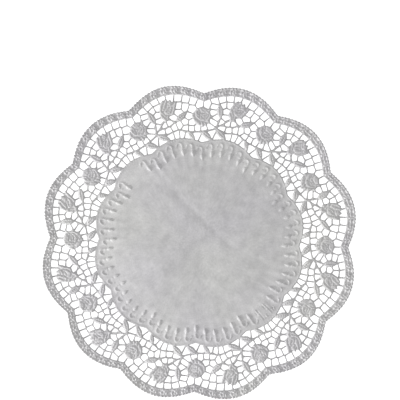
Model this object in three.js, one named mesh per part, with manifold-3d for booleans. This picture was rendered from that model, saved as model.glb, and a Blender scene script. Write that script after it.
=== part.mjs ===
// A round paper lace doily, lying flat: one punched and embossed sheet.
// Millimetres, +Z up. The origin is the centre of the underside, where the sheet rests.
import * as THREE from 'three';
import { mergeVertices } from 'three/addons/utils/BufferGeometryUtils.js';
import Module from 'manifold-3d';

const wasm = await Module();
wasm.setup();

// Driving sizes of the sheet.
const SCALLOPS = 12;
const TIP_RADIUS = 150;
const VALLEY_RADIUS = 140.2;
const THICKNESS = 1;
const EMBOSS = 0.4;

// The net lies between the plain middle and the solid edging; both borders follow the scallops.
const EDGING_INNER = { valley: 132.6, rise: 9.1 };
const MIDDLE = { valley: 94.5, rise: 5.4 };
const BAR_WIDTH = 1.2;
const OPENINGS_CUT = 25;

// How far a cut runs past both faces, and how far its outline may stray from the true one.
const CUT_MARGIN = 1;
const COARSENESS = 0.7;

const SCALLOP_ANGLE = 2 * Math.PI / SCALLOPS;

// Places in one scallop are [across, out]: across is clockwise of the scallop's own axis as seen
// from above, out is away from the doily's centre. The other scallops are turned copies.
// The middle of each opening of the net, row by row.
const OPENINGS = {
  edging: [[-30.4, 126.8], [-23.8, 131.5], [-18, 134.6], [-10.9, 138], [-4.2, 139.6],
    [4, 139.4], [11.4, 137.2], [18.3, 134.3], [24.5, 131], [30.2, 127]],
  roseToLeaf: [[-23.5, 126.5], [-22.7, 120.8], [-18.6, 116.8], [-19.8, 112.2], [-21.5, 107]],
  leafToBud: [[-15.1, 130], [-9.7, 131.4], [-11, 125], [-10.2, 119.2], [-12.6, 114.2]],
  budToRose: [[10, 129.5], [15.9, 127.4], [21.7, 124], [8.6, 123.3], [3.5, 119.2], [17.5, 118]],
  underBud: [[-6.6, 114.6], [-1.6, 115.6], [12.8, 113.6], [19, 111.6], [7.1, 111.7], [2, 110.8]],
  aboveVine: [[-10.5, 108.7], [-3.9, 108.8], [11.9, 107.4], [17.4, 106.1], [23, 105.3], [28.9, 103.6]],
  underVine: [[-18.6, 101.8], [-12.4, 100.8], [-2.6, 103.2], [2.8, 103.5], [7.9, 102.6],
    [12.2, 100.6], [20.6, 98.6], [26, 94.6]],
};

// The vine is one wavy ring: degrees clockwise of the scallop's axis and radius.
const VINE_WIDTH = 1.4;
const VINE = [
  { turn: -8.7, radius: 108.8 },
  { turn: -3, radius: 105.9 },
  { turn: 3.7, radius: 107.2 },
  { turn: 9.9, radius: 104.3 },
  { turn: 16.5, radius: 105.4 },
  { turn: 21.3, radius: 108.8 },
];

// Stems from the vine to the bud and the leaves.
const STEMS = [
  { name: 'bud', width: 1.3, path: [[-16.5, 107.5], [-5, 119]] },
  { name: 'tall leaf', width: 1.3, path: [[-16.5, 107.5], [-15.4, 112], [-14.8, 118]] },
  { name: 'side leaf', width: 1.2, path: [[-12, 111], [-3, 112.4], [4.5, 115.5]] },
  { name: 'bud to side leaf', width: 1, path: [[-3, 119], [4, 116]] },
];

// Each leaf is a lens from its stalk to its tip.
const LEAVES = [
  { name: 'tall', stalk: [-14.8, 118.3], tip: [-19, 130.5], width: 5.5 },
  { name: 'side', stalk: [4.6, 115.7], tip: [17, 122.3], width: 5 },
  { name: 'low left', stalk: [-15, 106], tip: [-4.2, 100.2], width: 5.2 },
  { name: 'low middle', stalk: [13.8, 104.3], tip: [18.2, 94.8], width: 4.2 },
  { name: 'low right', stalk: [26.3, 101.2], tip: [33.4, 91.8], width: 5.4 },
];

// The open rose on the line between two scallops, with its ragged sepals below.
const FLOWER_SIDES = 9;
const ROSE = { centre: [30.2, 115.6], radius: 8.3 };
const SEPALS = [
  { turn: 174, reach: 10.2 },
  { turn: 203, reach: 9.6 },
  { turn: 236, reach: 10.4 },
  { turn: 258, reach: 11.2 },
  { turn: 276, reach: 10.6 },
  { turn: 299, reach: 10.1 },
];
const SEPAL_WIDTH = 5;

// The rosebud stands on the scallop's axis: a round cup with four petals out of it.
const BUD = { centre: [0.2, 128.2], radius: 6.4 };
const PETALS = [
  { foot: [-6.5, 121.5], tip: [-3, 138.2], width: 7.5 },
  { foot: [-3, 124], tip: [0, 139], width: 7 },
  { foot: [0.5, 124], tip: [3.6, 137.4], width: 7 },
  { foot: [3.4, 124], tip: [9.4, 134.6], width: 4 },
  { foot: [-4, 118.6], tip: [-7.6, 129.6], width: 4.5 },
];

// The embossed ring of drops on the middle, five to a scallop. Two places are left smooth.
const DROPS = { perScallop: 5, firstTurn: -9.2, length: 8, width: 3.7, belowEdge: 14 };
const SMOOTH_PLACES = [
  { scallop: 11, drop: 1 },
  { scallop: 11, drop: 2 },
  { scallop: 5, drop: 1 },
  { scallop: 5, drop: 2 },
];

// A closed solid of the manifold library from a three.js geometry.
function solidOf(geometry) {
  const bare = geometry.clone();
  bare.deleteAttribute('normal');
  bare.deleteAttribute('uv');
  const merged = mergeVertices(bare, 1e-4);
  return new wasm.Manifold(new wasm.Mesh({
    numProp: 3,
    vertProperties: Float32Array.from(merged.attributes.position.array),
    triVerts: Uint32Array.from(merged.index.array),
  }));
}

function geometryOf(solid) {
  const mesh = solid.getMesh();
  const geometry = new THREE.BufferGeometry();
  geometry.setAttribute('position', new THREE.BufferAttribute(mesh.vertProperties, 3));
  geometry.setIndex(new THREE.BufferAttribute(mesh.triVerts, 1));
  geometry.computeVertexNormals();
  return geometry;
}

// An upright prism over an outline, from one height to another.
function prism(points, bottom, top) {
  const shape = new THREE.Shape(points.map(([x, y]) => new THREE.Vector2(x, y)));
  const geometry = new THREE.ExtrudeGeometry(shape, { depth: top - bottom, bevelEnabled: false });
  geometry.translate(0, 0, bottom);
  return solidOf(geometry);
}

function turned([x, y], angle) {
  const c = Math.cos(angle);
  const s = Math.sin(angle);
  return [x * c - y * s, x * s + y * c];
}

const polar = (turn, radius) => [radius * Math.sin(turn), radius * Math.cos(turn)];
const degrees = THREE.MathUtils.degToRad;

// A border that swells to each scallop's axis, as |cos| of half the scallop count does.
const bordered = (border, turn) => border.valley + border.rise * Math.abs(Math.cos(SCALLOPS / 2 * turn));

// A pointed oval from foot to tip.
function lens(foot, tip, width, steps = 3) {
  const [ux, uy] = [tip[0] - foot[0], tip[1] - foot[1]];
  const length = Math.hypot(ux, uy);
  const side = (t, hand) => {
    const offset = hand * width / 2 * Math.sin(Math.PI * t) / length;
    return [foot[0] + ux * t - uy * offset, foot[1] + uy * t + ux * offset];
  };
  const points = [foot];
  for (let i = 1; i < steps; i += 1) points.push(side(i / steps, -1));
  points.push(tip);
  for (let i = steps - 1; i > 0; i -= 1) points.push(side(i / steps, 1));
  return points;
}

function disc([x, y], radius, sides) {
  const corner = (i) => polar(2 * Math.PI * i / sides, radius);
  return Array.from({ length: sides }, (_, i) => [x - corner(i)[0], y + corner(i)[1]]);
}

// Both edges of a strand of even width along a path.
function strand(path, width) {
  const edge = (hand) => path.map((point, i) => {
    const before = path[Math.max(i - 1, 0)];
    const after = path[Math.min(i + 1, path.length - 1)];
    const [dx, dy] = [after[0] - before[0], after[1] - before[1]];
    const offset = hand * width / 2 / Math.hypot(dx, dy);
    return [point[0] - dy * offset, point[1] + dx * offset];
  });
  return [...edge(-1), ...edge(1).reverse()];
}

// The rose's outline: a rounded flower whose lower half runs out into sepals.
function roseOutlines() {
  const [x, y] = ROSE.centre;
  const sepal = ({ turn, reach }) => {
    const tip = [x + reach * Math.cos(degrees(turn)), y + reach * Math.sin(degrees(turn))];
    return lens(ROSE.centre, tip, SEPAL_WIDTH, 2);
  };
  return [disc(ROSE.centre, ROSE.radius, FLOWER_SIDES), ...SEPALS.map(sepal)];
}

const budOutlines = () => [
  disc(BUD.centre, BUD.radius, FLOWER_SIDES),
  ...PETALS.map((petal) => lens(petal.foot, petal.tip, petal.width, 2)),
];

const leafOutlines = () => LEAVES.map((leaf) => lens(leaf.stalk, leaf.tip, leaf.width));

// Everything of one scallop that stays whole between the openings.
function motifOutlines() {
  const vine = VINE.map(({ turn, radius }) => polar(degrees(turn), radius));
  return [
    strand(vine, VINE_WIDTH),
    ...STEMS.map((stem) => strand(stem.path, stem.width)),
    ...leafOutlines(),
    ...roseOutlines(),
    ...budOutlines(),
  ];
}

// Keeps the part of a convex outline where normal . point is at most limit.
function clipped(outline, normal, limit) {
  const height = (p) => p[0] * normal[0] + p[1] * normal[1] - limit;
  const kept = [];
  outline.forEach((from, i) => {
    const to = outline[(i + 1) % outline.length];
    const [a, b] = [height(from), height(to)];
    if (a <= 0) kept.push(from);
    if ((a < 0) !== (b < 0)) {
      const t = a / (a - b);
      kept.push([from[0] + t * (to[0] - from[0]), from[1] + t * (to[1] - from[1])]);
    }
  });
  return kept;
}

// The outline of an upright solid, chained from the free edges of its flat underside.
function planOutline(solid) {
  const { vertProperties, triVerts } = solid.getMesh();
  const point = (i) => [vertProperties[3 * i], vertProperties[3 * i + 1], vertProperties[3 * i + 2]];
  const low = Math.min(...Array.from(triVerts, (i) => point(i)[2]));
  const free = new Map();
  for (let t = 0; t < triVerts.length; t += 3) {
    const corners = [triVerts[t], triVerts[t + 1], triVerts[t + 2]];
    const under = corners.every((i) => point(i)[2] - low < 1e-6);
    corners.forEach((from, i) => {
      const to = corners[(i + 1) % 3];
      if (under && !free.delete(`${to} ${from}`)) free.set(`${from} ${to}`, [from, to]);
    });
  }
  const next = new Map(free.values());
  const outline = [];
  for (let i = next.keys().next().value; next.has(i);) {
    const to = next.get(i);
    next.delete(i);
    outline.push(point(i).slice(0, 2));
    i = to;
  }
  return outline;
}

// Leaves out each corner that stands less than COARSENESS off the line past it, the least first.
function coarse(outline) {
  const offLine = (corner, i, corners) => {
    const from = corners.at(i - 1);
    const to = corners[(i + 1) % corners.length];
    const [dx, dy] = [to[0] - from[0], to[1] - from[1]];
    return Math.abs((corner[0] - from[0]) * dy - (corner[1] - from[1]) * dx) / Math.hypot(dx, dy);
  };
  const corners = [...outline];
  for (;;) {
    const offs = corners.map(offLine);
    const least = Math.min(...offs);
    if (least > COARSENESS || corners.length < 4) return corners;
    corners.splice(offs.indexOf(least), 1);
  }
}

// One opening: what is nearer to its middle than to any other's, less half a bar all round.
function openingOutline(middle, middles) {
  const reach = 14;
  let outline = [[-1, -1], [1, -1], [1, 1], [-1, 1]].map(([i, j]) => [middle[0] + i * reach, middle[1] + j * reach]);
  middles.forEach((other) => {
    const away = [other[0] - middle[0], other[1] - middle[1]];
    const distance = Math.hypot(...away);
    if (distance < 1e-6 || distance > 2 * reach) return;
    const normal = away.map((v) => v / distance);
    const halfway = ((other[0] + middle[0]) * normal[0] + (other[1] + middle[1]) * normal[1]) / 2;
    outline = clipped(outline, normal, halfway - BAR_WIDTH / 2);
  });
  const turn = Math.atan2(middle[0], middle[1]);
  const outward = polar(turn, 1);
  outline = clipped(outline, outward, bordered(EDGING_INNER, turn));
  return clipped(outline, outward.map((v) => -v), -bordered(MIDDLE, turn));
}

// The largest openings of one scallop, each with the motifs left standing in it.
function openingSolids() {
  const own = Object.values(OPENINGS).flat();
  const all = [-1, 0, 1].flatMap((k) => own.map((middle) => turned(middle, k * SCALLOP_ANGLE)));
  const [bottom, top] = [-CUT_MARGIN, THICKNESS + CUT_MARGIN];
  const motifs = wasm.Manifold.union(motifOutlines().map((outline) => prism(outline, 2 * bottom, 2 * top)));
  const kept = [-1, 0, 1].map((k) => motifs.rotate([0, 0, k * 360 / SCALLOPS]));
  const standing = wasm.Manifold.union(kept);
  const cuts = own.map((middle) => {
    const pieces = prism(openingOutline(middle, all), bottom, top).subtract(standing).decompose();
    return pieces.sort((a, b) => b.volume() - a.volume())[0];
  });
  const largest = cuts.sort((a, b) => b.volume() - a.volume()).slice(0, OPENINGS_CUT);
  return largest.map((cut) => prism(coarse(planOutline(cut)), bottom, top));
}

// A low flat-topped pad over an outline, sunk into the sheet.
const pad = (outline) => prism(outline, THICKNESS / 2, THICKNESS + EMBOSS);

// The raised flowers and leaves of one scallop, drawn in a little from their outlines.
function raisedPads() {
  const rim = 0.7;
  const leaves = LEAVES.map(({ stalk, tip, width }) => lens(stalk, tip, width - 2 * rim));
  return [
    disc(ROSE.centre, ROSE.radius - rim, FLOWER_SIDES),
    disc(BUD.centre, BUD.radius - rim, FLOWER_SIDES),
    ...leaves,
  ].map(pad);
}

// The ring of raised drops, each pointing at the doily's centre.
function dropPads() {
  const pads = [];
  for (let scallop = 0; scallop < SCALLOPS; scallop += 1) {
    for (let drop = 0; drop < DROPS.perScallop; drop += 1) {
      const smooth = SMOOTH_PLACES.some((place) => place.scallop === scallop && place.drop === drop);
      const inScallop = degrees(DROPS.firstTurn) + drop * SCALLOP_ANGLE / DROPS.perScallop;
      const outer = bordered(MIDDLE, inScallop) - DROPS.belowEdge + DROPS.length / 2;
      const turn = inScallop + scallop * SCALLOP_ANGLE;
      const outline = lens(polar(turn, outer - DROPS.length), polar(turn, outer), DROPS.width, 2);
      if (!smooth) pads.push(pad(outline));
    }
  }
  return pads;
}

// The whole sheet: the scalloped disc less its openings, with the raised pads on it.
function sheetSolid() {
  const steps = 8;
  const edge = { valley: VALLEY_RADIUS, rise: TIP_RADIUS - VALLEY_RADIUS };
  const outline = Array.from({ length: steps * SCALLOPS }, (_, i) => {
    const turn = -i * SCALLOP_ANGLE / steps;
    return polar(turn, bordered(edge, turn));
  });
  const cuts = openingSolids();
  const pads = raisedPads();
  const every = (solids) => Array.from({ length: SCALLOPS }, (_, k) => (
    solids.map((solid) => solid.rotate([0, 0, k * 360 / SCALLOPS]))
  )).flat();
  return prism(outline, 0, THICKNESS)
    .subtract(wasm.Manifold.union(every(cuts)))
    .add(wasm.Manifold.union([...every(pads), ...dropPads()]));
}

const paper = new THREE.MeshStandardMaterial({ color: 0xc4c4c5, roughness: 0.9, metalness: 0 });

const doily = new THREE.Mesh(geometryOf(sheetSolid()), paper);
doily.name = 'doily';

const part = new THREE.Group();
part.add(doily);

export default part;
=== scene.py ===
"""A round paper lace doily lying flat: one sheet of punched and embossed paper."""
import math
from functools import reduce

import bpy
import numpy as np
from mathutils import Matrix, Vector
from mathutils.geometry import delaunay_2d_cdt
from mathutils.kdtree import KDTree


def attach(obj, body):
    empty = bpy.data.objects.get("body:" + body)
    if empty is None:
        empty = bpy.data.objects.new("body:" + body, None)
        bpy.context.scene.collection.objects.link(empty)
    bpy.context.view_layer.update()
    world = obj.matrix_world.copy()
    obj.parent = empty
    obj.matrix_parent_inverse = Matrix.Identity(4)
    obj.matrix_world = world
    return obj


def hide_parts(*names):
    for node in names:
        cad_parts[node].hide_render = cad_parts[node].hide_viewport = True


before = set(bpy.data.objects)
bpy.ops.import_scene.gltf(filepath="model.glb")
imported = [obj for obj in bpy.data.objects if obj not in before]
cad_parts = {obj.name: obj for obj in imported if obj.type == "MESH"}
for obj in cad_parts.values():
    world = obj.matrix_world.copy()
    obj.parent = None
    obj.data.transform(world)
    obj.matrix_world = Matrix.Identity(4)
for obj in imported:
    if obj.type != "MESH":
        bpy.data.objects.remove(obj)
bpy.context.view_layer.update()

# The sheet's plan
# One scalloped disc of paper, stamped out in one stroke, with twelve equal scallops round it. A
# place in a scallop is (across, out) in mm: clockwise of the scallop's axis as seen from above,
# and away from the doily's centre. A border is its radius between two scallops, and its swell.
MM = 0.001
SCALLOPS = 12
SCALLOP_TURN = 2 * math.pi / SCALLOPS
OUTER_EDGE = (140.2, 9.8)
EDGING_INNER = (132.6, 9.1)
MIDDLE_EDGE = (94.5, 5.4)
CUSP_SOFTNESS = 0.03
CENTRE = (0, 0)


def turned(points, turn):
    """Points turned anticlockwise about the doily's centre."""
    points = np.asarray(points, float)
    c, s = math.cos(turn), math.sin(turn)
    x, y = points[..., 0], points[..., 1]
    return np.stack([x * c - y * s, x * s + y * c], -1)


def polar(turn, radius):
    """A place by its clockwise turn from the scallop's axis and its radius."""
    return np.stack([radius * np.sin(turn), radius * np.cos(turn)], -1)


def turn_of(points):
    """How far clockwise of the scallop's axis points are."""
    return np.arctan2(points[:, 0], points[:, 1])


def distance(points, place):
    """How far points are from one place."""
    return np.hypot(points[:, 0] - place[0], points[:, 1] - place[1])


def way(turn):
    """The direction at an anticlockwise turn from straight across."""
    return np.stack([np.cos(turn), np.sin(turn)], -1)


def bordered(border, turn):
    """A border's radius: it swells to each scallop's axis and dips between two."""
    valley, rise = border
    return valley + rise * np.sqrt(np.cos(SCALLOPS / 2 * turn) ** 2 + CUSP_SOFTNESS**2)


# The net
# Thin straight bars of paper between the openings. Each opening is what lies nearer to its own
# middle than to any other's, less half a bar's width all round.
BAR_WIDTH = 1.16
BAR_FILLET = 0.12
OPENINGS = {
    "edging": [(-30.4, 126.8), (-23.8, 131.5), (-18, 134.6), (-10.9, 138), (-4.2, 139.6),
               (4, 139.4), (11.4, 137.2), (18.3, 134.3), (24.5, 131), (30.2, 127)],
    "rose to leaf": [(-23.5, 126.5), (-22.7, 120.8), (-18.6, 116.8), (-19.8, 112.2), (-21.5, 107)],
    "leaf to bud": [(-15.1, 130), (-9.7, 131.4), (-11, 125), (-10.2, 119.2), (-12.6, 114.2)],
    "bud to rose": [(10, 129.5), (15.9, 127.4), (21.7, 124), (8.6, 123.3), (3.5, 119.2), (17.5, 118)],
    "under bud": [(-6.6, 114.6), (-1.6, 115.6), (12.8, 113.6), (19, 111.6), (7.1, 111.7), (2, 110.8)],
    "above vine": [(-10.5, 108.7), (-3.9, 108.8), (11.9, 107.4), (17.4, 106.1), (23, 105.3), (28.9, 103.6)],
    "under vine": [(-18.6, 101.8), (-12.4, 100.8), (-2.6, 103.2), (2.8, 103.5), (7.9, 102.6),
                   (12.2, 100.6), (20.6, 98.6), (26, 94.6)],
}
MIDDLES = np.array([place for row in OPENINGS.values() for place in row])
NEIGHBOURS = (-1, 0, 1)
PATH_STEPS = 6


def blended(depths, softness):
    """The largest of several depths, with a fillet where two are alike."""
    depths = np.array(depths)
    top = depths.max(axis=0)
    return top + softness * np.log(np.exp((depths - top) / softness).sum(axis=0))


def along(points, start, end):
    """How far points are from the line start to end, and how far along it, from 0 to 1."""
    start, end = np.asarray(start, float), np.asarray(end, float)
    line = end - start
    share = np.clip((points - start) @ line / (line @ line), 0, 1)
    off = points - start - share[:, None] * line
    return np.hypot(off[:, 0], off[:, 1]), share


def smooth_path(corners):
    """A smooth curve through a few points, as a chain of short straight stretches."""
    p = np.array([corners[0], *corners, corners[-1]], float)
    t = np.linspace(0, 1, PATH_STEPS, endpoint=False)[:, None]
    parts = [
        (2 * b + (c - a) * t + (2 * a - 5 * b + 4 * c - d) * t**2 + (3 * b - a - 3 * c + d) * t**3) / 2
        for a, b, c, d in zip(p, p[1:], p[2:], p[3:])
    ]
    return np.vstack([*parts, p[-1:]])


def off_path(points, corners):
    """How far points are from the smooth curve through a few corners."""
    path = smooth_path(corners)
    return np.min([along(points, a, b)[0] for a, b in zip(path, path[1:])], axis=0)


def bar_depth(points):
    """How deep points lie inside the net's bars; less than zero is in an opening."""
    middles = np.concatenate([turned(MIDDLES, k * SCALLOP_TURN) for k in NEIGHBOURS])
    squares = ((points[:, None, :] - middles[None]) ** 2).sum(-1)
    own = (np.arange(len(points)), squares.argmin(axis=1))
    apart = np.linalg.norm(middles[own[1]][:, None, :] - middles[None], axis=-1)
    apart[own] = np.inf
    past_halfway = (squares.min(axis=1)[:, None] - squares) / (2 * apart)
    past_halfway[own] = -np.inf
    return blended(past_halfway.T, BAR_FILLET) + BAR_WIDTH / 2


# The vine and its stems
# One wavy cord runs round the net under the flowers, and thinner stems rise from it to the bud
# and the leaves. They are embossed as half-round cords. The vine's corners are degrees clockwise
# and radius, and each stem is its width and its corners.
VINE_WIDTH = 1.25
VINE = [(-8.7, 108.8), (-3, 105.9), (0, 107), (3.7, 107.2), (7.7, 104.9), (9.9, 104.3),
        (13.3, 104.4), (16.5, 105.4), (19.7, 106.9), (21.3, 108.8)]
STEMS = {
    "bud": (1.2, [(-16.5, 107.5), (-5, 119)]),
    "tall leaf": (1.2, [(-16.5, 107.5), (-16, 110), (-15, 113), (-14.8, 118)]),
    "side leaf": (1.1, [(-12, 111), (-5, 112), (-1, 113), (4.5, 115.5)]),
    "bud to side leaf": (1.0, [(-3, 119), (0, 118), (4, 116)]),
    "bud foot": (1.0, [(-4.5, 118.5), (-3.8, 112.5)]),
}


def cord_depth(points):
    """How deep points lie inside the vine and the stems of one scallop."""
    vine = [polar(math.radians(turn), radius) for turn, radius in VINE]
    cords = [(VINE_WIDTH, vine), *STEMS.values()]
    return np.max([width / 2 - off_path(points, path) for width, path in cords], axis=0)


# The leaves
# Two leaves stand among the flowers and three short ones hang from the vine to the middle.
# Each is a pointed oval, given by its foot, its tip and its width.
LEAVES = {
    "tall": ((-14.8, 117.8), (-19.2, 130.5), 6.4),
    "side": ((4.6, 115.7), (17, 122.3), 5.8),
    "low left": ((-15, 106), (-4.2, 100.2), 5.6),
    "low middle": ((13.8, 104.3), (18.2, 94.8), 4.4),
    "low right": ((26.3, 101.2), (33.4, 91.8), 5.8),
}
OVAL_SKEW = 0.9
OVAL_FULLNESS = 0.8


def oval_depth(points, foot, tip, width):
    """How deep points lie inside a pointed oval, which is widest just short of its middle."""
    off, share = along(points, foot, tip)
    return width / 2 * np.sin(np.pi * share**OVAL_SKEW) ** OVAL_FULLNESS - off


def leaf_depth(points):
    """How deep points lie inside the leaves of one scallop."""
    return np.max([oval_depth(points, *leaf) for leaf in LEAVES.values()], axis=0)


# The flowers
# An open rose stands between two scallops and a rosebud on each scallop's axis. The rose is round
# with a fringe of sepals, each given by its turn in degrees, how far it reaches and half its width.
ROSE_CENTRE = np.array([30.4, 116.0])
ROSE_RADIUS = 7.7
ROSE_FOOT = (29.3, 114.9)
ROSE_FOOT_RADIUS = 8.4
ROSE_FILLET = 0.25
SEPAL_ROOT = 0.6
SEPALS = [(174, 10.2, 2.3), (203, 9.6, 1.5), (236, 10.4, 1.3), (258, 11.2, 1.2), (276, 10.6, 1.1),
          (299, 10.1, 1.3), (340, 9.3, 1.0), (21, 9.2, 1.0)]
BUD_CENTRE = (0.2, 128.4)
BUD_RADIUS = 6.4
BUD_FILLET = 0.3
BUD_PETALS = [((-6.5, 122.5), (-3, 138.2), 6.5), ((-3, 124), (0, 139), 6.5),
              ((0.5, 124), (3.6, 137.4), 6.0), ((4.2, 126), (9.4, 134.6), 3.0)]
BUD_SEPALS = [((-4.3, 119.4), (-5.2, 123.5), 1.9), ((-7, 121.8), (-7, 127.4), 1.3),
              ((-2.5, 119.8), (-1.5, 122.5), 1.3), ((-5.4, 126), (-5.4, 133.2), 1.6),
              ((3.2, 124), (4.6, 128), 1.7)]
PAPER_FILLET = 0.14


def rose_depth(points):
    """How deep points lie inside one scallop's open rose."""
    parts = [ROSE_RADIUS - distance(points, ROSE_CENTRE), ROSE_FOOT_RADIUS - distance(points, ROSE_FOOT)]
    for turn, reach, width in SEPALS:
        end = ROSE_CENTRE + (reach - width) * way(math.radians(turn))
        root = ROSE_CENTRE + SEPAL_ROOT * (end - ROSE_CENTRE)
        parts.append(width - along(points, root, end)[0])
    return blended(parts, ROSE_FILLET)


def bud_depth(points):
    """How deep points lie inside one scallop's rosebud."""
    parts = [BUD_RADIUS - distance(points, BUD_CENTRE)]
    parts += [oval_depth(points, *petal) for petal in BUD_PETALS]
    parts += [width - along(points, start, end)[0] for start, end, width in BUD_SEPALS]
    return blended(parts, BUD_FILLET)


def paper_depth(points):
    """How deep points lie inside the paper, anywhere in one scallop."""
    radius, turn = distance(points, CENTRE), turn_of(points)
    parts = [bar_depth(points), radius - bordered(EDGING_INNER, turn), bordered(MIDDLE_EDGE, turn) - radius]
    for k in NEIGHBOURS:
        own = turned(points, -k * SCALLOP_TURN)
        parts += [cord_depth(own), leaf_depth(own), rose_depth(own), bud_depth(own)]
    return blended(parts, PAPER_FILLET)


# The openings
# Every opening is punched out with slightly rounded corners. Its outline is found by walking
# outwards from its middle until the paper begins, and is then stepped off evenly.
RAYS = 48
WALK = np.arange(0.4, 12, 0.3)
EDGE_STEP = 0.8
FEWEST_SIDES = 4


def evenly(outline, step, closed=True):
    """A polyline stepped off anew in even steps."""
    line = np.vstack([outline, outline[:1]]) if closed else np.asarray(outline)
    gone = np.concatenate([[0], np.cumsum(np.linalg.norm(np.diff(line, axis=0), axis=1))])
    count = max(int(round(gone[-1] / step)), FEWEST_SIDES)
    places = np.linspace(0, gone[-1], count + 1)
    spaced = np.stack([np.interp(places, gone, line[:, i]) for i in (0, 1)], -1)
    return spaced[:-1] if closed else spaced


def opening_outlines():
    """The outlines of one scallop's openings."""
    rays = np.arange(RAYS)
    ways = way(rays * 2 * math.pi / RAYS)
    found = []
    for middle in MIDDLES:
        walks = middle + ways[:, None, :] * WALK[None, :, None]
        depth = paper_depth(walks.reshape(-1, 2)).reshape(RAYS, len(WALK))
        first = np.argmax(depth > 0, axis=1)
        before, after = depth[rays, first - 1], depth[rays, first]
        share = before / (before - after)
        reach = WALK[first - 1] + share * (WALK[first] - WALK[first - 1])
        found.append(evenly(middle + ways * reach[:, None], EDGE_STEP))
    return found


outlines = opening_outlines()

# The relief of the flowers, the leaves and the vine
# Embossed from below: petals swell between pressed lines, and each leaf has a groove and slanting
# veins. A swell or ridge is its reach and its height in mm. Tone is light and shade painted into the
# paper's colour, where 1 is plain: the flowers' lines are painted lighter as painted highlights, and
# the leaves are painted lighter with darker veins.
PETAL_SWELL = (1.1, 0.85)
FLOWER_SWELL = (1.0, 0.1)
LINE_PAINTED_HIGHLIGHT = 1.27
PETAL_TONE = 0.99
PETAL_TONE_REACH = 0.9
SEPAL_RIDGE = (0.6, 0.35)
SEPAL_RIDGE_START = 7.2
SEPAL_TIP = 0.3
ROSE_LINES = [
    [(26.8, 122.2), (24.3, 120.5), (23.3, 118.1), (23.5, 115.7), (24.5, 114.2), (26.1, 111.8),
     (27.7, 110.7), (30.3, 109.9), (32.7, 110.7), (34.8, 112.3), (36.1, 114.4), (36.6, 116.5),
     (36.9, 118.9), (37.2, 120.5)],
    [(28.5, 122.1), (28.7, 120.2), (29.5, 118.6), (31.1, 117.8), (32.9, 117.4), (34.8, 118.4), (36.4, 118.9)],
    [(26.9, 121), (26.6, 118.4)],
    [(28.9, 118.6), (28.1, 117.6), (27.9, 115.7), (27.2, 114.4)],
    [(29, 115.5), (30.8, 115.9), (32.9, 115.7), (34.7, 117)],
    [(29.3, 113.9), (30.8, 113.4), (32.9, 113.6), (34.5, 114.9), (35.3, 116)],
    [(26.6, 110.6), (26.9, 107.8)],
    [(30.1, 109.7), (29.4, 107.4)],
    [(31.6, 109.4), (32.7, 107.6)],
    [(23.7, 113.6), (22.2, 115.4)],
]
BUD_LINES = [
    [(-1.4, 136.4), (-2.8, 134.6), (-4.5, 132.4), (-5.3, 130.4)],
    [(-6.4, 128.8), (-4.8, 127.1), (-4.6, 125.4), (-3.4, 124.1), (-1.2, 123.2), (1.1, 123.6),
     (2.7, 125.4), (4.1, 127.9), (4.7, 129.9)],
    [(7.4, 133.5), (5.8, 131.8), (3.6, 130.7), (1.3, 130.4), (-0.6, 130.4)],
    [(-4.8, 127.1), (-2.6, 129.1), (-0.9, 130.2)],
    [(-0.7, 132.7), (-0.9, 130.4)],
    [(0.5, 135.2), (-0.1, 133.8), (1.1, 132.7)],
    [(-1.2, 127.4), (0.2, 128.2), (1.9, 128.8), (2.2, 129.9)],
    [(-6.9, 125.2), (-3.9, 120.7)],
]
LEAF_SWELL = (1.6, 0.75)
GROOVE = (0.45, 0.4)
VEIN_RISE = 0.4
VEIN_START = 0.6
VEIN_SPACING = 2.1
VEIN_SLANT = 0.8
LEAF_PAINTED_LIGHT = 0.17
VEIN_PAINTED_SHADE = 0.13
CORD_SWELL = (0.7, 0.35)


def ridge(off, half_width, height):
    """A rounded ridge along a line that is off away."""
    return height * np.exp(-((off / half_width) ** 2))


def dome(depth, rise_over, height):
    """A swelling that starts at an outline and is full once depth reaches rise_over."""
    share = np.clip(depth / rise_over, 0, 1)
    return height * share * share * (3 - 2 * share)


def flower_marks(points):
    """One scallop's flowers as relief and tone."""
    height, tone = np.zeros(len(points)), np.ones(len(points))
    for depth, lines in ((rose_depth(points), ROSE_LINES), (bud_depth(points), BUD_LINES)):
        within = depth > 0
        if within.any():
            off = np.min([off_path(points[within], line) for line in lines], axis=0)
            petal = np.minimum(depth[within], off)
            height[within] = dome(petal, *PETAL_SWELL) + dome(depth[within], *FLOWER_SWELL)
            # The flowers' lines are painted lighter than the petals, as painted highlights.
            tone[within] = LINE_PAINTED_HIGHLIGHT - dome(petal, PETAL_TONE_REACH, LINE_PAINTED_HIGHLIGHT - PETAL_TONE)
    for turn, reach, _ in SEPALS:
        out = way(math.radians(turn))
        start, end = ROSE_CENTRE + SEPAL_RIDGE_START * out, ROSE_CENTRE + (reach - SEPAL_TIP) * out
        height = np.maximum(height, ridge(along(points, start, end)[0], *SEPAL_RIDGE))
    return height, tone


def leaf_marks(points):
    """One scallop's leaves as relief and tone."""
    height, tone = np.zeros(len(points)), np.ones(len(points))
    for foot, tip, width in LEAVES.values():
        depth = oval_depth(points, foot, tip, width)
        off, share = along(points, foot, tip)
        gone = share * math.dist(foot, tip) - VEIN_SLANT * off
        veins = 0.5 + 0.5 * np.cos(2 * math.pi * gone / VEIN_SPACING)
        shape = dome(depth, *LEAF_SWELL) - ridge(off, *GROOVE)
        shape += VEIN_RISE * veins * dome(off, VEIN_START, 1)
        height = np.maximum(height, np.where(depth > 0, shape, 0))
        # The leaves are painted lighter and their veins darker: painted light and shade.
        tone += np.where(depth > 0, LEAF_PAINTED_LIGHT - VEIN_PAINTED_SHADE * veins, 0)
    return height, tone
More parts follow.
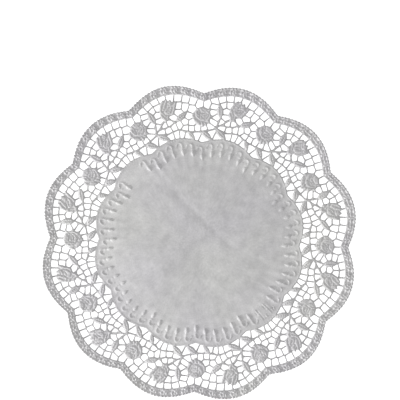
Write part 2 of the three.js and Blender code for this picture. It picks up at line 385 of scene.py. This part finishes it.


# The edging
# A band about 8 mm wide, embossed like a crocheted border: raised shells at its notches, two pits
# one behind the other between them, and pressed spots all over. Light and shade are painted into its
# colour: the band a little lighter overall, and some spots lighter and others darker. Each row below
# is one mark: mm from the nearest notch, mm in from the outer edge, both its half widths, its height
# and its painted tone.
NOTCH_TURNS = np.array([-15, -11.6, -7.8, -3.9, 0, 3.9, 7.8, 11.6, 15])
BUMPS_PER_CELL = 3
BUMP_HEIGHT = 0.28
BAND = 8.2
BAND_END = 0.8
BAND_RISE = 0.5
BAND_PAINTED_LIGHT = 0.12
SHELL_HALF_WIDTH = 3.4
SHELL_SWELL = (1.2, 0.12)
PRESSED = [
    (4.55, 2.9, 1.1, 1.2, -1.3, 0.25),
    (4.5, 5.9, 1.35, 0.9, -0.9, 0.14),
    (1.35, 1.1, 0.75, 0.8, 0.85, -0.4),
    (2.55, 4.1, 0.9, 0.9, 0.95, -0.4),
    (4.55, 1.1, 0.95, 0.65, 0.6, -0.25),
    (0, 5.6, 0.85, 1.1, 0.8, 0.15),
    (1.6, 6.9, 0.7, 0.55, 0.55, -0.15),
    (3.6, 7.1, 0.8, 0.45, 0.4, -0.15),
    (0, 3.4, 0.5, 0.6, 0.5, -0.08),
    (0.45, 1.7, 0.4, 0.5, -0.3, 0.04),
    (1.2, 2.8, 0.5, 0.4, -0.3, 0.1),
    (1.4, 5.3, 0.5, 0.5, -0.45, 0.05),
    (3.0, 2.0, 0.5, 0.5, -0.3, 0.04),
]


def outer_edge(turn):
    """The sheet's edge: three small bumps to a cell."""
    beat = np.interp(np.degrees(turn), NOTCH_TURNS, np.arange(len(NOTCH_TURNS)))
    return bordered(OUTER_EDGE, turn) - BUMP_HEIGHT * np.cos(2 * math.pi * BUMPS_PER_CELL * beat)


def cell_places(points):
    """Places in the edging's cells, in mm: from the nearest notch, and in from the outer edge."""
    radius, turn = distance(points, CENTRE), turn_of(points)
    outer, inner = bordered(OUTER_EDGE, turn), bordered(EDGING_INNER, turn)
    in_from_edge = (outer - radius) * BAND / (outer - inner)
    degrees = np.degrees(turn)
    cell = np.clip(np.searchsorted(NOTCH_TURNS, degrees) - 1, 0, len(NOTCH_TURNS) - 2)
    off = np.minimum(np.abs(degrees - NOTCH_TURNS[cell]), np.abs(NOTCH_TURNS[cell + 1] - degrees))
    return np.radians(off) * radius, in_from_edge


def edging_marks(points):
    """The edging as relief and tone."""
    off, in_from_edge = cell_places(points)
    relief, tone = dome(SHELL_HALF_WIDTH - off, *SHELL_SWELL), np.ones(len(points))
    for mark_off, mark_in, half_along, half_in, height, shade in PRESSED:
        mark = ridge(np.hypot((off - mark_off) / half_along, (in_from_edge - mark_in) / half_in), 1, 1)
        relief += height * mark
        # The painted light and shade of each spot.
        tone += shade * mark
    on_band = dome(BAND + BAND_END - in_from_edge, BAND_END, 1)
    # The whole band is painted a little lighter, as painted light.
    return on_band * (BAND_RISE + relief), 1 + on_band * (tone - 1 + BAND_PAINTED_LIGHT)


# The middle's edge
# The plain middle ends in one fine raised line just inside the net. The belt further in, where
# the drops are, is painted a little lighter, as painted light. Both are measured in mm in from the
# middle's edge.
LINE_IN = 0.8
LINE_RIDGE = (0.5, 0.22)
LINE_OUTER_END = -0.5
BELT_IN = 11
BELT_PAINTED_LIGHT = (10, 0.07)


def middle_marks(points):
    """The middle's edge as relief, and the belt of the drops as painted light."""
    depth = bordered(MIDDLE_EDGE, turn_of(points)) - distance(points, CENTRE)
    line = ridge(depth - LINE_IN, *LINE_RIDGE) * (depth > LINE_OUTER_END)
    # The belt of the drops is painted a little lighter, as painted light.
    return line, 1 + ridge(depth - BELT_IN, *BELT_PAINTED_LIGHT)


def scallop_marks(points):
    """All that repeats from scallop to scallop, as relief and tone."""
    relief, tone = edging_marks(points)
    line, belt_painted_light = middle_marks(points)
    raised, tone = [line], tone * belt_painted_light
    for k in NEIGHBOURS:
        own = turned(points, -k * SCALLOP_TURN)
        for height, shade in (flower_marks(own), leaf_marks(own)):
            raised.append(height)
            tone *= shade
        raised.append(dome(cord_depth(own), *CORD_SWELL))
    return relief + np.maximum(np.max(raised, axis=0), 0), tone


# The ring of drops
# Sixty long drops in a ring on the middle, five to a scallop, each with a bead over it, hung from
# a small arch with a pocket under it. One place is smooth and one holds plain ribs. A mark round
# the drop is its place in mm from the drop's middle, both its half widths and its height.
DROPS = 60
DROP_START = -9.2
DROP_RING = (79.2, 5.8)
DROP_FOOT = -3.4
DROP_LENGTH = 7.6
DROP_HALF_WIDTH = 1.8
DROP_SKEW = 1.8
DROP_FULLNESS = 0.8
DROP_OFF = 0.6
DROP_LEAN = 0.08
DROP_SWELL = (1.1, 0.8)
ARCH = [(-4.5, 8.4), (-3.8, 9.8), (-2.3, 10.7), (-0.7, 10.4), (0.3, 9.1), (0.4, 7.2)]
ARCH_RIDGE = (0.5, 0.42)
POCKET = [(-3.9, 7.2), (-3.1, 8.3), (-1.7, 8.5), (-0.9, 7.7)]
POCKET_PIT = (0.8, 0.3)
ROUND_DROP = [
    (0.3, 5.4, 1.1, 1.1, 0.5),
    (0.9, -4.6, 2.6, 1.5, 0.14),
    (-2.6, 4.2, 1.2, 4.0, -0.14),
    (2.9, 4.6, 1.2, 4.0, -0.16),
    (2.7, 8.6, 1.0, 0.9, -0.14),
]
SMOOTH_TURN = (-36.4, -24.0)
RIBBED_TURN = (144.8, 155.8)
RIBBED_RADII = (81.0, 95.0)
RIBS = 7
RIB_RISE = 0.45
RIB_END = 0.4
SOFT_END = 1


def between(value, limits, softness):
    """One between two limits and zero outside, with soft ends."""
    low, high = limits
    return np.clip((value - low) / softness + 0.5, 0, 1) * np.clip((high - value) / softness + 0.5, 0, 1)


def ring_relief(points):
    """The ring's relief, anywhere on the whole sheet."""
    radius, turn = distance(points, CENTRE), turn_of(points)
    degrees = np.degrees(turn)
    pitch = 360 / DROPS
    at = np.round((degrees - DROP_START) / pitch) * pitch + DROP_START
    x, y = np.radians(degrees - at) * radius, radius - bordered(DROP_RING, np.radians(at))
    share = np.clip((y - DROP_FOOT) / DROP_LENGTH, 0, 1)
    half = DROP_HALF_WIDTH * np.sin(np.pi * share**DROP_SKEW) ** DROP_FULLNESS
    relief = dome(half - np.abs(x - DROP_OFF + DROP_LEAN * y), *DROP_SWELL)
    for mark_x, mark_y, half_x, half_y, height in ROUND_DROP:
        relief += ridge(np.hypot((x - mark_x) / half_x, (y - mark_y) / half_y), 1, height)
    for shift in (0, pitch):
        places = np.stack([x - np.radians(shift) * radius, y], -1)
        relief += ridge(off_path(places, ARCH), *ARCH_RIDGE)
        relief -= ridge(off_path(places, POCKET), *POCKET_PIT)
    smooth, ribbed = (between(degrees, limits, SOFT_END) for limits in (SMOOTH_TURN, RIBBED_TURN))
    start, end = RIBBED_TURN
    ribs = RIB_RISE * np.sin(math.pi * RIBS * (degrees - start) / (end - start)) ** 2
    ribs *= between(degrees, RIBBED_TURN, RIB_END) * between(radius, RIBBED_RADII, SOFT_END)
    return np.clip(1 - smooth - ribbed, 0, 1) * relief + ribs


# The mesh of one scallop
# Points lie close on the lace and wide apart on the plain middle, by steps in mm, and are joined
# to triangles between the openings. The cut from scallop to scallop runs where there is paper all
# the way, and is nowhere straight, so that it leaves no sliver.
CUT_RADIUS = [0, 88, 97.5, 105, 109, 113, 122, 134.17, 137, 140.49]
CUT_TURN = [14.6, 15, 19.9, 17.15, 17.1, 15.6, 15.04, 15, 15.05, 15]
SEAM_BEHIND_RIM = 1.3
RING_INNER = 73.0
RING_OUTER = 93.0
LACE_MARGIN = 2.5
BORDER_STEPS = {"plain": 2.0, "ring": 1.0, "lace": 0.65, "edging": 0.45}
UPPER_STEPS = {"plain": 1.9, "ring": 0.5, "lace": 0.65, "edging": 0.4}
UNDER_STEPS = {"plain": 4.0, "ring": 2.0, "lace": 1.8, "edging": 0.9}
FREE_OF_LINES = 0.62
BEND_REACH = 0.5
BEND_WORTH_POINTS = 0.05
SPREAD_TO = 150.0
SPREAD_HALF_WIDTH = 67.5
ROW_RATIO = math.sqrt(0.75)
CDT_EPSILON = 1e-7
BORDER_SAMPLES = 2001
OPENING_TREE_STEP = 0.2
OUTER_TREE_STEP = 0.1


def cut_turn(radius):
    """The cut's clockwise turn at a radius."""
    return np.radians(np.interp(radius, CUT_RADIUS, CUT_TURN))


def lace_inner(turn):
    """Where the net's close points begin, just inside the middle's edge."""
    return bordered(MIDDLE_EDGE, turn) - LACE_MARGIN


def seam_radius(turn):
    """Where the net ends and the edging begins, just behind the edging's inner border."""
    return bordered(EDGING_INNER, turn) + SEAM_BEHIND_RIM


def tree_of(points):
    """A search tree of points."""
    tree = KDTree(len(points))
    for i, (x, y) in enumerate(points):
        tree.insert((x, y, 0), i)
    tree.balance()
    return tree


def nearest(tree, points):
    """How far each point is from the nearest one in a tree."""
    return np.array([tree.find((x, y, 0))[2] for x, y in points])


def inside(polygon, points):
    """Which points lie in a closed polygon."""
    x, y = points[:, 0], points[:, 1]
    found = np.zeros(len(points), bool)
    for (x0, y0), (x1, y1) in zip(polygon, np.roll(polygon, -1, axis=0)):
        if y0 != y1:
            found ^= ((y0 > y) != (y1 > y)) & (x < (x1 - x0) * (y - y0) / (y1 - y0) + x0)
    return found


def cut_line():
    """The cut on the scallop's clockwise side, from centre to edge, and the seam's place in it."""
    seam, edge = float(seam_radius(SCALLOP_TURN / 2)), float(outer_edge(SCALLOP_TURN / 2))
    bounds = [0, RING_INNER, RING_OUTER, seam, edge]
    radii = [edge]
    for low, high, step in zip(bounds, bounds[1:], BORDER_STEPS.values()):
        radii.extend(np.linspace(low, high, int((high - low) / step), endpoint=False))
    radii = np.sort(radii)
    return polar(cut_turn(radii), radii), int(np.argmin(np.abs(radii - seam)))


def across_scallop(radius_of, step):
    """A border line from the anticlockwise cut to the clockwise one, without its ends."""
    turns = np.linspace(-SCALLOP_TURN / 2, SCALLOP_TURN / 2, BORDER_SAMPLES)
    return evenly(polar(turns, radius_of(turns)), step, closed=False)[1:-1]


class Plan:
    """The fixed points of one scallop's plan, and the lines that its triangles keep to."""

    def __init__(self):
        self.points, self.lines, self.opening = [], [], []
        right, seam_at = cut_line()
        left = turned(right, SCALLOP_TURN)[1:]
        right, left = self.add(right), self.add(left)
        outer = self.add(across_scallop(outer_edge, BORDER_STEPS["edging"]))
        seam = self.add(across_scallop(seam_radius, BORDER_STEPS["lace"]))
        seam = [left[seam_at - 1], *seam, right[seam_at]]
        self.border = right + outer[::-1] + left[::-1]
        self.lines += [self.border + right[:1], seam]
        self.on_cut, self.on_seam = set(right + left), set(seam)
        for number, outline in enumerate(outlines):
            ring = self.add(outline, number)
            self.lines.append(ring + ring[:1])

    def add(self, new, opening=-1):
        """Adds points, of an opening's outline or of none, and gives their numbers."""
        start = len(self.points)
        self.points.extend(map(tuple, new))
        self.opening.extend([opening] * len(new))
        return list(range(start, start + len(new)))


def spread(step, low, high):
    """Evenly spread points over the scallop between two borders, and which are on a coarser grid."""
    columns, rows = int(2 * SPREAD_HALF_WIDTH / step), int(SPREAD_TO / step / ROW_RATIO)
    column, row = (part.ravel() for part in np.meshgrid(np.arange(columns), np.arange(rows)))
    points = np.stack([(column + row % 2 / 2) * step - SPREAD_HALF_WIDTH, row * step * ROW_RATIO], -1)
    coarse = (row % 3 == 0) & (column % 3 == row // 3 % 2)
    radius, turn = distance(points, CENTRE), turn_of(points)
    behind_cut = cut_turn(radius) - turn
    keep = (radius > low(turn)) & (radius <= high(turn)) & (behind_cut > 0) & (behind_cut < SCALLOP_TURN)
    return points[keep], coarse[keep]


def bends(points):
    """How sharply the ring's relief bends at points."""
    steps = BEND_REACH * np.array([(1, 0), (-1, 0), (0, 1), (0, -1)])
    round_about = sum(ring_relief(points + step) for step in steps) / len(steps)
    return np.abs(ring_relief(points) - round_about)


def circle(radius):
    """A border that is round."""
    return lambda turn: np.full_like(turn, radius)


def triangles_of(plan, steps):
    """All points and triangles of the paper in one scallop, with points inside it by steps."""
    fixed = np.array(plan.points)
    tree = tree_of(fixed)
    zones = {
        "plain": (circle(0), circle(RING_INNER)),
        "ring": (circle(RING_INNER), lace_inner),
        "lace": (lace_inner, seam_radius),
        "edging": (seam_radius, outer_edge),
    }
    points = [fixed]
    for zone, (low, high) in zones.items():
        loose, coarse = spread(steps[zone], low, high)
        if zone == "ring" and steps is UPPER_STEPS:
            loose = loose[coarse | (bends(loose) > BEND_WORTH_POINTS)]
        loose = loose[nearest(tree, loose) > FREE_OF_LINES * min(steps[zone], BORDER_STEPS["ring"])]
        if zone == "lace":
            loose = loose[paper_depth(loose) > 0]
        points.append(loose)
    points = np.vstack(points)
    edges = [pair for line in plan.lines for pair in zip(line, line[1:])]
    found = delaunay_2d_cdt([Vector(point) for point in points], edges, [], 0, CDT_EPSILON)
    first = np.array([origin[0] for origin in found[3]])
    faces = first[np.array(found[2])]
    a, b, c = (points[faces[:, i]] for i in range(3))
    turned_over = (b - a)[:, 0] * (c - a)[:, 1] < (b - a)[:, 1] * (c - a)[:, 0]
    faces[turned_over] = faces[turned_over][:, ::-1]
    centres = points[faces].mean(axis=1)
    keep = inside(points[plan.border], centres)
    opening = np.append(plan.opening, np.full(len(points) - len(fixed), -1))[faces]
    for number, outline in enumerate(outlines):
        spanning = np.flatnonzero((opening == number).all(axis=1))
        keep[spanning[inside(outline, centres[spanning])]] = False
    return points, faces[keep]


plan = Plan()
paper_edges = [
    evenly(turned(outline, k * SCALLOP_TURN), OPENING_TREE_STEP) for outline in outlines for k in NEIGHBOURS
]
edge_tree = tree_of(np.vstack([*paper_edges, across_scallop(outer_edge, OUTER_TREE_STEP)]))

# The two faces of the paper
# The upper face carries the full relief and the under face a softer one, as embossed paper does.
# The walls between them close the sheet at every opening and round the outside, where the punch
# has drawn the rim down. Towards every edge the paper's colour is painted darker, as painted shade.
PAPER_THICKNESS = 0.28
FLAT_TOP = 0.62
UNDER_SHARE = 0.4
RIM_DROP = (0.4, 0.3)
EDGE_PAINTED_SHADE = 0.72
EDGE_PAINTED_SHADE_REACH = 1.1


def paper_face(steps, share, in_piece):
    """One face in one scallop: its points' numbers, places and tones, and its triangles."""
    points, faces = triangles_of(plan, steps)
    centres = points[faces].mean(axis=1)
    faces = faces[in_piece(distance(centres, CENTRE), turn_of(centres))]
    used, faces = np.unique(faces, return_inverse=True)
    relief, tone = scallop_marks(points[used])
    edge_off = nearest(edge_tree, points[used])
    height = FLAT_TOP + share * relief - ridge(edge_off, *RIM_DROP)
    # Painted shade: the colour darkens towards every edge of the paper.
    tone = tone * (EDGE_PAINTED_SHADE + dome(edge_off, EDGE_PAINTED_SHADE_REACH, 1 - EDGE_PAINTED_SHADE))
    return used, np.column_stack([points[used], height]), tone, faces.reshape(-1, 3)


def scallop_piece(name, in_piece):
    """A closed thin sheet in one scallop: both faces, and the walls at the paper's edges."""
    upper, upper_places, upper_tones, upper_faces = paper_face(UPPER_STEPS, 1, in_piece)
    under, under_places, under_tones, under_faces = paper_face(UNDER_STEPS, UNDER_SHARE, in_piece)
    under_places[:, 2] -= PAPER_THICKNESS
    polygons = upper_faces.tolist() + (under_faces[:, ::-1] + len(upper)).tolist()
    smooth = [True] * len(polygons)
    upper_of = {number: i for i, number in enumerate(upper.tolist())}
    under_of = {number: len(upper) + i for i, number in enumerate(under.tolist())}
    corners = upper[upper_faces].tolist()
    sides = {side for a, b, c in corners for side in ((a, b), (b, c), (c, a))}
    for a, b in sorted(sides):
        if (b, a) not in sides and not (a in plan.on_cut and b in plan.on_cut):
            polygons.append((upper_of[b], upper_of[a], under_of[a], under_of[b]))
            smooth.append(not (a in plan.on_seam and b in plan.on_seam))
    mesh = bpy.data.meshes.new(name)
    mesh.from_pydata((np.vstack([upper_places, under_places]) * MM).tolist(), [], polygons)
    # The tone attribute carries light and shade painted into the paper's colour.
    point_values = {
        "relief_share": [1] * len(upper) + [UNDER_SHARE] * len(under),
        "tone": [*upper_tones, *under_tones],
    }
    for attribute, values in point_values.items():
        mesh.attributes.new(attribute, "FLOAT", "POINT").data.foreach_set("value", values)
    mesh.polygons.foreach_set("use_smooth", smooth)
    mesh.update()
    piece = bpy.data.objects.new(name, mesh)
    bpy.context.scene.collection.objects.link(piece)
    return piece


sheet = scallop_piece("doily_sheet", lambda radius, turn: radius < seam_radius(turn))
edging = scallop_piece("doily_edging", lambda radius, turn: radius > seam_radius(turn))

# The paper
# Thin greyish white paper, matt, with a cloudy formation, faint warm and cool patches, short
# fibres and a very fine tooth. Each shade is a noise with its scale, detail and roughness, the
# stretch of it that counts, and the colours from its low end to its high one.
SHADES = {
    "clouds": ((90, 6, 0.7), (0.25, 0.75), (0.35, 0.35, 0.353), (0.5, 0.5, 0.5)),
    "patches": ((14, 2, 0.5), (0.35, 0.65), (0.98, 0.965, 0.99), (1.02, 1.015, 1.0)),
    "fibres": ((700, 3, 0.65), (0.3, 0.7), (0.9, 0.9, 0.9), (1.04, 1.04, 1.04)),
}
TOOTH = (1600, 4, 0.6)
TOOTH_STRENGTH = 0.12
TOOTH_HEIGHT = 0.2
PAPER_ROUGHNESS = 0.85
PAPER_SHINE = 0.25


def paper_material():
    """The paper, shaded by noises and by light and shade painted into the tone of its points."""
    paper = bpy.data.materials.new("doily paper")
    paper.use_nodes = True
    nodes, links = paper.node_tree.nodes, paper.node_tree.links
    shader = nodes["Principled BSDF"]
    shader.inputs["Roughness"].default_value = PAPER_ROUGHNESS
    shader.inputs["Specular IOR Level"].default_value = PAPER_SHINE
    place = nodes.new("ShaderNodeTexCoord")

    def noise(*values):
        made = nodes.new("ShaderNodeTexNoise")
        for name, value in zip(("Scale", "Detail", "Roughness"), values):
            made.inputs[name].default_value = value
        links.new(place.outputs["Object"], made.inputs["Vector"])
        return made.outputs["Fac"]

    def shade(noise_values, stretch, *colours):
        ramp = nodes.new("ShaderNodeValToRGB")
        for element, position, colour in zip(ramp.color_ramp.elements, stretch, colours):
            element.position = position
            element.color = (*colour, 1)
        links.new(noise(*noise_values), ramp.inputs["Fac"])
        return ramp.outputs["Color"]

    def multiplied(a, b):
        mix = nodes.new("ShaderNodeMix")
        mix.data_type, mix.blend_type = "RGBA", "MULTIPLY"
        mix.inputs["Factor"].default_value = 1
        links.new(a, mix.inputs[6])
        links.new(b, mix.inputs[7])
        return mix.outputs[2]

    # The points' tone paints light and shade into the paper's colour.
    painted_tone = nodes.new("ShaderNodeAttribute")
    painted_tone.attribute_name = "tone"
    shades = [shade(*values) for values in SHADES.values()]
    links.new(reduce(multiplied, [*shades, painted_tone.outputs["Fac"]]), shader.inputs["Base Color"])
    tooth = nodes.new("ShaderNodeBump")
    tooth.inputs["Strength"].default_value = TOOTH_STRENGTH
    tooth.inputs["Distance"].default_value = TOOTH_HEIGHT * MM
    links.new(noise(*TOOTH), tooth.inputs["Height"])
    links.new(tooth.outputs["Normal"], shader.inputs["Normal"])
    return paper


# Scallop after scallop
# The die that cuts and embosses one scallop repeats all round, so twelve turned copies are laid
# edge to edge and joined where they meet.
WELD = 0.02


def repeat_tree():
    """Geometry nodes that turn a scallop round the centre, join the copies and paper them."""
    tree = bpy.data.node_groups.new("Scallops in a ring", "GeometryNodeTree")
    inputs = {"Scallop": "Geometry", "Scallops": "Int", "Weld": "Float", "Paper": "Material"}
    for name, kind in inputs.items():
        tree.interface.new_socket(name, in_out="INPUT", socket_type="NodeSocket" + kind)
    tree.interface.new_socket("Doily", in_out="OUTPUT", socket_type="NodeSocketGeometry")

    def node(kind, **settings):
        made = tree.nodes.new(kind)
        for key, value in settings.items():
            setattr(made, key, value)
        return made

    given, made = node("NodeGroupInput"), node("NodeGroupOutput")
    points, index = node("GeometryNodePoints"), node("GeometryNodeInputIndex")
    full, each = node("ShaderNodeMath", operation="DIVIDE"), node("ShaderNodeMath", operation="MULTIPLY")
    turn, copies = node("ShaderNodeCombineXYZ"), node("GeometryNodeInstanceOnPoints")
    real, weld = node("GeometryNodeRealizeInstances"), node("GeometryNodeMergeByDistance")
    finish = node("GeometryNodeSetMaterial")
    full.inputs[0].default_value = 2 * math.pi
    for start, end in (
        (given.outputs["Scallops"], points.inputs["Count"]),
        (given.outputs["Scallops"], full.inputs[1]),
        (full.outputs[0], each.inputs[0]),
        (index.outputs[0], each.inputs[1]),
        (each.outputs[0], turn.inputs["Z"]),
        (points.outputs[0], copies.inputs["Points"]),
        (given.outputs["Scallop"], copies.inputs["Instance"]),
        (turn.outputs[0], copies.inputs["Rotation"]),
        (copies.outputs[0], real.inputs[0]),
        (real.outputs[0], weld.inputs["Geometry"]),
        (given.outputs["Weld"], weld.inputs["Distance"]),
        (weld.outputs[0], finish.inputs["Geometry"]),
        (given.outputs["Paper"], finish.inputs["Material"]),
        (finish.outputs[0], made.inputs[0]),
    ):
        tree.links.new(start, end)
    return tree


def repeat(piece, tree, paper):
    """Turns one scallop's piece into the whole ring, as a plain mesh."""
    nodes = piece.modifiers.new("Scallops", "NODES")
    nodes.node_group = tree
    values = {"Scallops": SCALLOPS, "Weld": WELD * MM, "Paper": paper}
    for socket in tree.interface.items_tree:
        if socket.name in values:
            nodes[socket.identifier] = values[socket.name]
    depsgraph = bpy.context.evaluated_depsgraph_get()
    whole = bpy.data.meshes.new_from_object(piece.evaluated_get(depsgraph))
    piece.modifiers.clear()
    piece.data = whole


paper = paper_material()
tree = repeat_tree()
for piece in (sheet, edging):
    repeat(piece, tree, paper)

# The lie of the sheet
# The paper isn't quite flat: the middle bulges, the edging lifts, it cockles all over, most where
# the drops have drawn it in, and it keeps a soft crease. A wave is its radians across and out for
# each mm, its start and its height, and a bulge is its place, its reach and its height.
COCKLE = 0.14
COCKLE_WAVES = [(0.031, 0.023, 0.4, 1), (-0.021, 0.052, 1.7, 0.7), (0.077, 0.041, 0, 0.5)]
MIDDLE_RISE = 1.5
MIDDLE_REACH = 88
BULGES = [(-44, -8, 30, 1.5), (67, 13, 15, 0.5), (-10, 62, 12, 0.3), (28, -52, 16, 0.35), (30, 12, 18, -0.4)]
CREASE_TURN = 125.4
CREASE_OFF = 19.5
CREASE_WANDER = (14, 1.5)
CREASE_CORE = 1.2
CREASE_REACH = 3.5
CREASE_DEPTH = 0.62
CREASE_START = (-70, 50)
CREASE_END = (65, 25)
PUCKER = (9, 0.045)
PUCKER_RADIUS = 76
PUCKER_PULL = [(3, 1, 0.6), (7, 4, 0.5)]
PUCKER_SWAY = (5, 0.8)
PUCKER_SLANT = 0.05
EDGE_LIFT = 0.07
EDGE_LIFT_WIDTH = 9
GRAIN = 0.05
GRAIN_START = (96, 3)
GRAIN_WAVES = [(2.1, 1.3, 0.5, 1), (-1.2, 2.4, 2.0, 1), (2.9, -0.7, 4.1, 1), (0.6, 3.1, 1.1, 1),
               (-2.6, -1.9, 3.3, 1)]


def wavy(points, waves):
    """An unevenness made of crossing waves."""
    return sum(height * np.sin(a * points[:, 0] + b * points[:, 1] + start) for a, b, start, height in waves)


def crease(points):
    """The soft valley beside the middle, which wanders a little and fades at both ends."""
    x, y = points[:, 0], points[:, 1]
    line = math.radians(CREASE_TURN)
    wander_length, wander = CREASE_WANDER
    off = x * math.sin(line) - y * math.cos(line) - CREASE_OFF + wander * np.sin(x / wander_length)
    gone = x * math.cos(line) + y * math.sin(line)
    (start, fade_in), (end, fade_out) = CREASE_START, CREASE_END
    fading = np.clip((end - gone) / fade_out, 0, 1) * np.clip((gone - start) / fade_in, 0, 1)
    return -CREASE_DEPTH * np.exp(-np.hypot(off, CREASE_CORE) / CREASE_REACH) * fading


def pucker(points):
    """The small folds where the drops have drawn the paper in, unevenly round the ring."""
    radius, turn = distance(points, CENTRE), turn_of(points)
    pull = 1 + sum(height * np.sin(count * turn + start) for count, start, height in PUCKER_PULL)
    pull *= ridge(radius - PUCKER_RADIUS, *PUCKER)
    sways, sway = PUCKER_SWAY
    return pull * np.sin(DROPS * turn + sway * np.sin(sways * turn) + PUCKER_SLANT * radius)


def lie(points):
    """How high the lying sheet is, above where it would be if it were flat."""
    radius = distance(points, CENTRE)
    rise = MIDDLE_RISE * np.clip(1 - (radius / MIDDLE_REACH) ** 2, 0, 1)
    rise += sum(ridge(distance(points, (x, y)), reach, height) for x, y, reach, height in BULGES)
    lift = EDGE_LIFT * np.clip(radius - bordered(EDGING_INNER, turn_of(points)), 0, EDGE_LIFT_WIDTH)
    start, fade_in = GRAIN_START
    uneven = GRAIN * wavy(points, GRAIN_WAVES) * np.clip((radius - start) / fade_in, 0, 1)
    return COCKLE * wavy(points, COCKLE_WAVES) + rise + crease(points) + pucker(points) + lift + uneven


for piece in (sheet, edging):
    places, shares = np.empty(3 * len(piece.data.vertices)), np.empty(len(piece.data.vertices))
    piece.data.vertices.foreach_get("co", places)
    piece.data.attributes["relief_share"].data.foreach_get("value", shares)
    places = places.reshape(-1, 3) / MM
    places[:, 2] += shares * ring_relief(places[:, :2]) + lie(places[:, :2])
    piece.data.vertices.foreach_set("co", (places * MM).ravel())
    piece.data.attributes.remove(piece.data.attributes["relief_share"])
    piece.data.update()
lowest = min(vertex.co.z for piece in (sheet, edging) for vertex in piece.data.vertices)
for piece in (sheet, edging):
    piece.data.transform(Matrix.Translation((0, 0, -lowest)))
    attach(piece, "root")

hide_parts("doily")

# The table
# A plain white table, which glows a little so that it comes out white round the doily, as the
# photograph's does.
TABLE_SIZE = 10
TABLE_COLOUR = (0.95, 0.95, 0.95, 1)
TABLE_ROUGHNESS = 0.9
TABLE_GLOW = 0.45
WHITE = (1, 1, 1, 1)

bpy.ops.mesh.primitive_plane_add(size=TABLE_SIZE)
table = bpy.context.object
table.name = "table"
white = bpy.data.materials.new("white table")
white.use_nodes = True
surface = white.node_tree.nodes["Principled BSDF"].inputs
surface["Base Color"].default_value = TABLE_COLOUR
surface["Roughness"].default_value = TABLE_ROUGHNESS
surface["Emission Color"].default_value = WHITE
surface["Emission Strength"].default_value = TABLE_GLOW
table.data.materials.append(white)

# The light and the camera
# A low light from the photograph's lower left and an even white sky. The camera looks straight
# down, turned and shifted as it was for the photograph. PHOTO_PIXEL is what one of the
# photograph's pixels shows, in mm, and PHOTO_SHIFT is in those pixels.
PHOTO_TURN = math.radians(13.07)
PHOTO_PIXEL = 150 / 159.4
PHOTO_PIXELS = 400
PHOTO_SHIFT = (1.05, 42.6)
CAMERA_HEIGHT = 1.2
CAMERA_SENSOR = 36.0
SKY_STRENGTH = 0.91
WINDOW_TURN = math.radians(207)
WINDOW_LIFT = math.radians(12)
WINDOW_DISTANCE = 1.6
WINDOW_POWER = 42.5
WINDOW_SIZE = 0.5


def photo_way(turn, lift=0):
    """A direction given as it looks in the photograph: turn anticlockwise from its right."""
    turn = turn - PHOTO_TURN
    return Vector((math.cos(lift) * math.cos(turn), math.cos(lift) * math.sin(turn), math.sin(lift)))


scene = bpy.context.scene
scene.view_settings.view_transform = "Standard"
sky = bpy.data.worlds.new("sky")
sky.use_nodes = True
sky.node_tree.nodes["Background"].inputs["Color"].default_value = WHITE
sky.node_tree.nodes["Background"].inputs["Strength"].default_value = SKY_STRENGTH
scene.world = sky

window = bpy.data.objects.new("window light", bpy.data.lights.new("window light", "AREA"))
window.data.shape = "DISK"
window.data.size = WINDOW_SIZE
window.data.energy = WINDOW_POWER
towards = photo_way(WINDOW_TURN, WINDOW_LIFT)
window.location = WINDOW_DISTANCE * towards
window.rotation_euler = towards.to_track_quat("Z", "Y").to_euler()
scene.collection.objects.link(window)

camera = bpy.data.objects.new("camera", bpy.data.cameras.new("camera"))
camera.data.sensor_width = CAMERA_SENSOR
camera.data.lens = CAMERA_SENSOR * CAMERA_HEIGHT / (PHOTO_PIXELS * PHOTO_PIXEL * MM)
shift_right, shift_up = (shift * PHOTO_PIXEL * MM for shift in PHOTO_SHIFT)
camera.location = shift_right * photo_way(0) + shift_up * photo_way(math.pi / 2)
camera.location.z = CAMERA_HEIGHT
camera.rotation_euler = (0, 0, -PHOTO_TURN)
scene.collection.objects.link(camera)
scene.camera = camera
